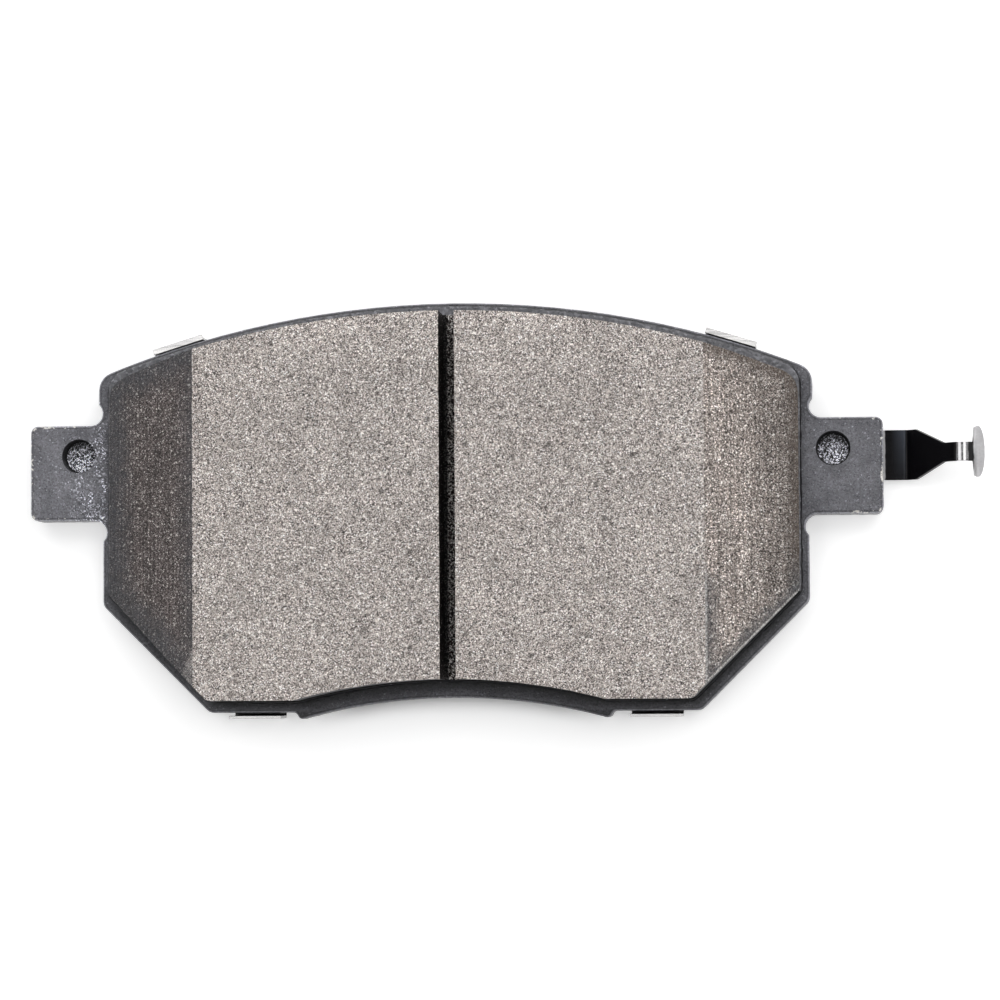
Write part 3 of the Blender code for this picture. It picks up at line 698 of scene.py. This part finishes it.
for side, axis in slotSides:
    sliced(layerShape, along(axis) * side, along(axis))
layerShape.normal_update()
for face in layerShape.faces:
    middle = face.calc_center_median()
    inSlot = abs(middle.x) < block["slotHalf"] and min(slotEnds) < middle.y < max(slotEnds)
    shadowed = middle.z < underlayerTop - edge or face.normal.y < -0.15 or abs(face.normal.x) > 0.7
    if face.normal.z > 0.9 and inSlot:
        face.material_index = 1
    elif face.normal.z < 0.98 and shadowed:
        face.material_index = 2
layerFinishes = [underlayerSprayed, underlayerSawn, underlayerShade]
underlayerPiece = settled("moulded_underlayer", layerShape, layerFinishes)
for points in loopsAt("underlayer", low.z):
    middle, radius = roundOf(points)
    postTop = plateFront + layer["postIn"]
    combined(underlayerPiece, "UNION", turned(middle, [
        (0, low.z), (radius - layer["postEdge"], low.z), (radius, low.z + layer["postEdge"]),
        (radius, postTop), (0, postTop),
    ]), underlayerSprayed, underlayerSprayed)
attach(underlayerPiece, "pad")
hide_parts("underlayer")
print("underlayer made")


# backing plate: punched, so its front edge is rolled over and the lower part of its wall is torn

plate = {
    "step": 0.55 * mm, "rollIn": 0.6 * mm, "rollDown": 0.45 * mm, "rims": (0.0, 1.0, 1.0, 1.0, 0.5, 0.5, 0.0),
    "sheared": 1.2 * mm, "torn": 2.1 * mm, "tear": 0.06 * mm, "burr": 0.12 * mm, "shimGap": 0.2 * mm,
    "dimple": 2.8 * mm, "lip": 0.1 * mm, "floorFillet": 0.25 * mm, "keyHole": 4.5 * mm, "studBack": 0.3 * mm,
    "lowerPart": -20 * mm, "archAt": 15 * mm, "flatAt": 34 * mm,
}
outline = resampled(loopsAt("backing_plate", plateFront)[0], plate["step"])
# the lower edge is an arc between two lugs, a flat beside each lug and a cut corner
lowerEdge = [p for p in outline if p.y < plate["lowerPart"]]
crown = min(lowerEdge, key=lambda p: abs(p.x))
haunch = min(lowerEdge, key=lambda p: abs(p.x - plate["archAt"]))
arcRadius = ((crown.y - haunch.y) ** 2 + haunch.x**2) / (2 * (crown.y - haunch.y))
# painted shade under the lining's lower wall, measured in from the plate's lower edge
liningShade = {
    "middle": crown.y - arcRadius, "arc": arcRadius, "arcWidth": 2.6 * mm,
    "flat": min(lowerEdge, key=lambda p: abs(p.x - plate["flatAt"])).y, "flatWidth": 1.65 * mm,
    "corner": max(abs(p.x) - p.y for p in lowerEdge), "cornerWidth": 1.9 * mm,
    "tones": [(0.0, 0.5), (0.12, 0.85), (0.25, 0.96), (0.6, 0.46), (1.0, 0.08)], "from": (-18.0, -24.0),
}
paintLook = {
    "liningShade": liningShade, "peel": 0.4, "cloud": 4.0, "nib": 0.2, "nibHeight": 0.3, "reach": 70.0,
    # painted light on the ears and painted shade on the plate between them
    "earLight": [(0.0, 1.16), (0.07, 1.16), (0.115, 0.7), (0.885, 0.7), (0.93, 0.96), (1.0, 0.96)],
    "tones": [(0.3, "#616167"), (0.7, "#7d7d83")],
    "nibsAndGlints": [(0.0, 0.5), (0.25, 0.85), (0.7, 1.02), (0.92, 1.2), (0.98, 1.45), (1.0, 2.6)],
    # rim ramp: painted light and dark bands on the rolled edges
    "edge": [(0.0, 1.0), (0.3, 0.85), (0.5, 0.55), (0.75, 1.2), (1.0, 2.2)],
    "chip": 0.9, "chipFrom": 0.54, "chipSpan": (58.0, 69.0), "bareTone": "#e2dfdb",
    "roughness": 0.33, "bump": 1.0, "relief": 0.26,
}
plateFinish = sprayedSteel("punched_steel_black_paint", dict(paintLook, rubbed={
    "across": (-57.0, -64.0), "from": (-13.0, -9.0), "to": (9.0, 6.0), "patch": 3.5,
    "share": [(0.0, 0.0), (0.12, 1.0), (0.3, 0.9), (0.6, 0.6), (1.0, 0.0)],
    # painted glints on the dust specks
    "paintedGlints": [(0.0, 0.25), (0.4, 0.8), (0.72, 1.6), (0.88, 4.0), (1.0, 9.0)],
}))
floorZ = plateFront - plate["dimple"]
dimpleMiddle, dimpleRadius = roundOf(loopsAt("backing_plate", floorZ)[0])
# the dimple floor's brightest specks go far above white: painted glints
dimpleFloor = sprayedSteel("half_pierced_steel_black_paint", dict(
    paintLook, nib=0.17, nibHeight=0.8, roughness=0.3,
    nibsAndGlints=[(0.0, 0.01), (0.35, 0.1), (0.55, 1.3), (0.75, 4.2), (0.9, 8.5), (1.0, 11.0)],
    fall=(dimpleMiddle.y + 0.8 * dimpleRadius, dimpleMiddle.y - 0.5 * dimpleRadius)))
# painted shade: the dimple walls nearly black, for the shade inside the dimples
dimpleWall = sprayedSteel("sheared_steel_painted_shade", dict(
    paintLook, tones=[(0.3, "#0b0b0d"), (0.7, "#131316")], roughness=0.5))
low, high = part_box("backing_plate")
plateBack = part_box("inner_shim")[1].z + plate["shimGap"]
profile = [(-plate["burr"], plateBack, 0, 0), (0, plateBack + plate["burr"], plate["tear"], 0)]
profile += [(0, plateBack + plate["torn"] * i / 4, plate["tear"], 0) for i in (1, 2, 3, 4)]
profile += [(0, plateFront - plate["rollDown"] - plate["sheared"], 0.2 * plate["tear"], 0)]
# the rim values place the rolled edge's painted light and dark bands, and where its paint chips
for i, rim in enumerate(plate["rims"]):
    turn = math.pi / 2 * i / (len(plate["rims"]) - 1)
    drop = plate["rollDown"] * (1 - math.sin(turn))
    profile.append((-plate["rollIn"] * (1 - math.cos(turn)), plateFront - drop, 0, rim))
platePiece = settled("punched_plate", loft(outline, profile), [plateFinish, dimpleFloor, dimpleWall])
# the holes that key the underlayer
for points in loopsAt("backing_plate", plateBack)[1:]:
    middle, radius = roundOf(points)
    if radius > plate["keyHole"]:
        combined(platePiece, "DIFFERENCE", turned(middle, [
            (0, plateBack - mm), (radius, plateBack - mm), (radius, plateFront + mm), (0, plateFront + mm),
        ]), plateFinish, plateFinish)
lip = plate["lip"]
fillet = plate["floorFillet"]
for points in loopsAt("backing_plate", floorZ):
    middle, radius = roundOf(points)
    combined(platePiece, "DIFFERENCE", turned(middle, [
        (0, floorZ), (radius - fillet, floorZ), (radius - 0.3 * fillet, floorZ + 0.3 * fillet),
        (radius, floorZ + fillet), (radius, plateFront - lip), (radius + 0.12 * lip, plateFront - 0.5 * lip),
        (radius + 0.45 * lip, plateFront - 0.12 * lip), (radius + lip, plateFront + 0.02 * mm),
        (radius + lip, plateFront + mm), (0, plateFront + mm),
    ]), dimpleFloor, dimpleWall)
# the studs behind the dimples, the right-hand one peened to a dome
studBack = plate["studBack"]
for points in loopsAt("backing_plate", studBack):
    middle, stud = roundOf(points)
    combined(platePiece, "UNION", turned(middle, [
        (0, studBack), (stud - 0.4 * mm, studBack), (stud - 0.1 * mm, 0.42 * mm), (stud, 0.7 * mm),
        (stud, plateBack + mm), (0, plateBack + mm),
    ]), plateFinish, plateFinish)
for points in loopsAt("backing_plate", low.z):
    middle, radius = roundOf(points)
    combined(platePiece, "UNION", turned(middle, [
        (0, low.z), (0.45 * radius, low.z), (0.8 * radius, low.z + 0.1 * mm),
        (0.97 * radius, low.z + 0.3 * mm), (radius, low.z + 0.45 * mm),
        (0.97 * radius, low.z + 0.58 * mm), (stud, low.z + 0.62 * mm),
        (stud, plateBack + mm), (0, plateBack + mm),
    ]), plateFinish, plateFinish)
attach(platePiece, "pad")
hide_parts("backing_plate")
print("backing plate made")


# inner shim: thin steel with a moulded rubber coat, bonded to the plate's back

rubber = {"step": 0.8 * mm, "soft": 0.18 * mm}
rubberFinish = sprayedSteel("nitrile_rubber_coat_matt", dict(
    paintLook, peel=0.9, nib=0.5, tones=[(0.3, "#1f1f21"), (0.7, "#29292b")],
    nibsAndGlints=[(0.0, 0.85), (0.5, 1.0), (1.0, 1.2)], earLight=[(0.0, 1.0), (1.0, 1.0)], chipFrom=0.9,
    roughness=0.62, bump=0.4, relief=0.04))
low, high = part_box("inner_shim")
soft = rubber["soft"]
rubberShape = loft(resampled(loopsAt("inner_shim", low.z)[0], rubber["step"]), [
    (-soft, low.z, 0, 0), (-0.3 * soft, low.z + 0.3 * soft, 0, 0), (0, low.z + soft, 0, 0),
    (0, high.z - soft, 0, 0), (-0.3 * soft, high.z - 0.3 * soft, 0, 0), (-soft, high.z, 0, 0),
])
rubberPiece = settled("rubber_coated_shim", rubberShape, [rubberFinish])
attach(rubberPiece, "pad")
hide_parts("inner_shim")
print("inner shim made")


# outer shim: stainless sheet whose tabs are folded up beside the plate's edges, the top ones with a lip

sheet = {
    "thick": 0.5 * mm, "tabLeast": 6 * mm, "outerBend": 0.75 * mm, "innerBend": 0.26 * mm, "edge": 0.05 * mm,
    "wallLeast": 3 * mm, "topSlope": 0.18, "topFrom": 6 * mm, "bottomSlope": -0.22, "bottomBand": 0.1 * mm,
    "tabArea": 30 * mm * mm, "tabReach": 7 * mm,
}
stainlessFinish = rolledSteel("stainless_steel_cold_rolled", {
    "line": (14.0, 0.25, 0.25), "haze": 5.0, "tones": [(0.3, "#a8a7a7"), (0.7, "#b7b6b5")], "streak": 0.3,
    "roughness": (0.16, 0.3), "sheen": 0.5, "bump": 0.3, "relief": 0.03})
sheetShape = copied("outer_shim")
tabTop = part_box("outer_shim")[1].z


def isWall(face):
    heights = [v.co.z for v in face.verts]
    return abs(face.normal.z) < 0.6 and max(heights) - min(heights) > sheet["wallLeast"]


def isBend(edge, height):
    level = all(abs(v.co.z - height) < 0.02 * mm for v in edge.verts)
    walls = [f for f in edge.link_faces if isWall(f)]
    return level and len(walls) == 1 and edge.calc_length() > sheet["tabLeast"]


rounded(sheetShape, [e for e in sheetShape.edges if isBend(e, 0)], sheet["outerBend"], 6)
rounded(sheetShape, [e for e in sheetShape.edges if isBend(e, sheet["thick"])], sheet["innerBend"], 4)
# the cut edges lean a little, so that they glint
for face in [f for f in sheetShape.faces if f.normal.y < -0.7 and f.calc_area() > sheet["tabArea"]]:
    middle = face.calc_center_median()
    facing = face.normal.copy()
    atTop = middle.y > 0
    endFrom = sheet["topFrom"] if atTop else tabTop - sheet["bottomBand"]
    for vertex in sheetShape.verts:
        if vertex.co.z > endFrom and (vertex.co - middle).length < sheet["tabReach"]:
            away = (middle - vertex.co).dot(facing)
            vertex.co.z -= (sheet["topSlope"] if atTop else sheet["bottomSlope"]) * away
rounded(sheetShape, sharpEdges(sheetShape, 60), sheet["edge"], 1)
sheetPiece = settled("clip_on_shim", sheetShape, [stainlessFinish], smoothBelow=35)
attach(sheetPiece, "clip_shim")
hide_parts("outer_shim")
print("outer shim made")


# wear indicator: blanked from spring strip, bent and tempered

strip = {"edge": 0.07 * mm, "cut": 0.5 * mm}
springFinish = rolledSteel("spring_steel_tempered", {
    "line": (9.0, 0.2, 0.2), "haze": 2.0, "tones": [(0.3, "#bcbbbd"), (0.7, "#cbcacb")], "streak": 0.06,
    "roughness": (0.14, 0.26), "sheen": 0.22, "bump": 0.10, "relief": 0.02,
    "oxide": {
        "tone": "#08070a", "span": (70.0, 87.0), "ragged": 0.5,
        # painted sheen on the black base near the bend
        "sheenTone": "#434750", "sheenAcross": (71.4, 73.8), "sheenUp": (-2.0, 6.0),
        "rubbed": [(0.0, 0.9), (0.024, 0.8), (0.034, 0.0), (0.2, 0.0), (0.21, 0.03), (0.215, 0.03),
                   (0.225, 0.0), (0.69, 0.0), (0.705, 1.0), (0.795, 1.0), (0.81, 0.0), (0.85, 0.0),
                   (0.862, 1.0)],
        "scuff": [(0.0, 0.5), (0.024, 0.5), (0.034, 0.0), (0.85, 0.0), (0.862, 0.5)],
    }})
stripShape = copied("wear_indicator")
low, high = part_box("wear_indicator")
rounded(stripShape, sharpEdges(stripShape, 60), strip["edge"], 1)
gridCut(stripShape, 0, strip["cut"], low.x, high.x)
stripPiece = settled("wear_strip", stripShape, [springFinish], smoothBelow=35)
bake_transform(stripPiece)
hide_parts("wear_indicator")
print("wear indicator made")


# floor, light and camera

studio = {
    "floorSize": 8.0, "floorDrop": 0.1 * mm, "floorTone": "#f6f6f6",
    "floorLift": (0.43, 0.85), "liftReach": (0.3, 1.2),        # glow near the pad and far from it, metres
    # the nook values place a painted shadow in the floor's glow under the lower edge
    "nookReach": 3.6 * mm, "nookLight": 0.0, "nookHalf": (24.0, 16.0), "nookFaint": 0.2,
    "nookBelow": (-20.0, -28.0),
    # bright walls, dark ceiling
    "room": [(0.0, 1.0), (0.1, 0.92), (0.3, 0.7), (0.6, 0.12), (1.0, 0.04)],
    # name, middle, (width, depth), watts, whether it is tipped towards the pad
    "boxes": [
        ("soft_box_right", (0.365, 0.1, 1.1), (0.41, 0.8), 2.2, False),
        ("soft_box_left", (-0.535, 0.1, 1.1), (0.61, 0.8), 2.5, False),
        ("soft_box_back", (0.05, 0.37, 0.58), (1.1, 0.45), 2.5, True),
        ("soft_box_front", (-0.05, -0.5, 0.95), (0.6, 0.15), 0.85, True),
        ("soft_box_side", (1.0, 0.0, 0.68), (0.8, 0.5), 1.5, True),
    ],
    "lens": 139.5, "sensor": 36, "nearest": 0.01,
    "tips": ((0.0857, "Y"), (0.0499, "X"), (-0.0059, "Z")), "stand": (0.0071844, -0.0047297, 0.640),
}
# matt paper: white to the eye, with the pad's soft shadow on it
floorFinish, tree = newTree("studio_paper_matt")
path = addNode(tree, "LightPath").outputs
seen = addNode(tree, "Math", largest, {0: path["Is Camera Ray"], 1: path["Is Glossy Ray"]})
seen = addNode(tree, "Math", largest, {0: seen, 1: path["Is Transmission Ray"]})
spot = addNode(tree, "TexCoord").outputs["Object"]
away = addNode(tree, "VectorMath", {"operation": "LENGTH"}, {0: spot})
reach = addNode(tree, "MapRange", {"range": (*studio["liftReach"], *studio["floorLift"])}, {"Value": away})
lift = addNode(tree, "Math", times, {0: seen, 1: reach})
# painted shadow: the floor's glow dimmed by its occlusion, in the nook under the lower edge between the lugs
# only
nook = addNode(tree, "AmbientOcclusion", {"samples": 16, "Distance": studio["nookReach"]})
dim = addNode(tree, "MapRange", {"range": (0.5, 1, studio["nookLight"], 1)}, {"Value": nook.outputs["AO"]})
axes = addNode(tree, "SeparateXYZ", None, {"Vector": spot}).outputs
aside = addNode(tree, "Math", {"operation": "ABSOLUTE"}, {0: axes["X"]})
inward = {"rangeMm": (*studio["nookHalf"], studio["nookFaint"], 1)}
within = addNode(tree, "MapRange", inward, {"Value": aside})
below = addNode(tree, "MapRange", {"rangeMm": studio["nookBelow"]}, {"Value": axes["Y"]})
share = addNode(tree, "Math", times, {0: within, 1: below})
shade = addNode(tree, "MapRange", {"range": (0, 1, 1)}, {"Value": share, "To Max": dim})
lift = addNode(tree, "Math", times, {0: lift, 1: shade})
glow = addNode(tree, "Emission", {"Color": (1, 1, 1, 1)}, {"Strength": lift})
paper = addNode(tree, "BsdfDiffuse", {"Color": fromHex(studio["floorTone"])})
both = addNode(tree, "AddShader", None, {0: paper, 1: glow})
addNode(tree, "OutputMaterial", None, {"Surface": both})
half = studio["floorSize"] / 2
corners = ((-half, -half), (half, -half), (half, half), (-half, half))
floorShape = bmesh.new()
floorShape.faces.new([floorShape.verts.new((x, y, -studio["floorDrop"])) for x, y in corners])
floorPiece = settled("studio_floor", floorShape, [floorFinish])

for name, middle, size, watts, tipped in studio["boxes"]:
    lamp = bpy.data.lights.new(name, "AREA")
    lamp.shape = "RECTANGLE"
    lamp.size, lamp.size_y = size
    lamp.energy = watts
    box = bpy.data.objects.new(name, lamp)
    box.location = middle
    if tipped:
        box.rotation_euler = (-Vector(middle)).to_track_quat("-Z", "Y").to_euler()
    scene.collection.objects.link(box)

world = bpy.data.worlds.new("studio_room")
scene.world = world
world.use_nodes = True
tree = world.node_tree
tree.nodes.clear()
way = addNode(tree, "TexCoord")
heights = addNode(tree, "SeparateXYZ", None, {"Vector": way.outputs["Generated"]})
room = addNode(tree, "ValToRGB", {"ramp": studio["room"]}, {"Fac": heights.outputs["Z"]})
back = addNode(tree, "Background", {"Strength": 1.0}, {"Color": room})
addNode(tree, "OutputWorld", None, {"Surface": back})

camera = bpy.data.objects.new("photo_camera", bpy.data.cameras.new("photo_camera"))
camera.data.lens = studio["lens"]
camera.data.sensor_width = studio["sensor"]
camera.data.clip_start = studio["nearest"]
stand = Matrix.Translation((0, 0, plateBack))
for angle, axis in studio["tips"]:
    stand = stand @ Matrix.Rotation(angle, 4, axis)
camera.matrix_world = stand @ Matrix.Translation(studio["stand"])
scene.collection.objects.link(camera)
scene.camera = camera
scene.view_settings.view_transform = "Standard"
print("studio made")
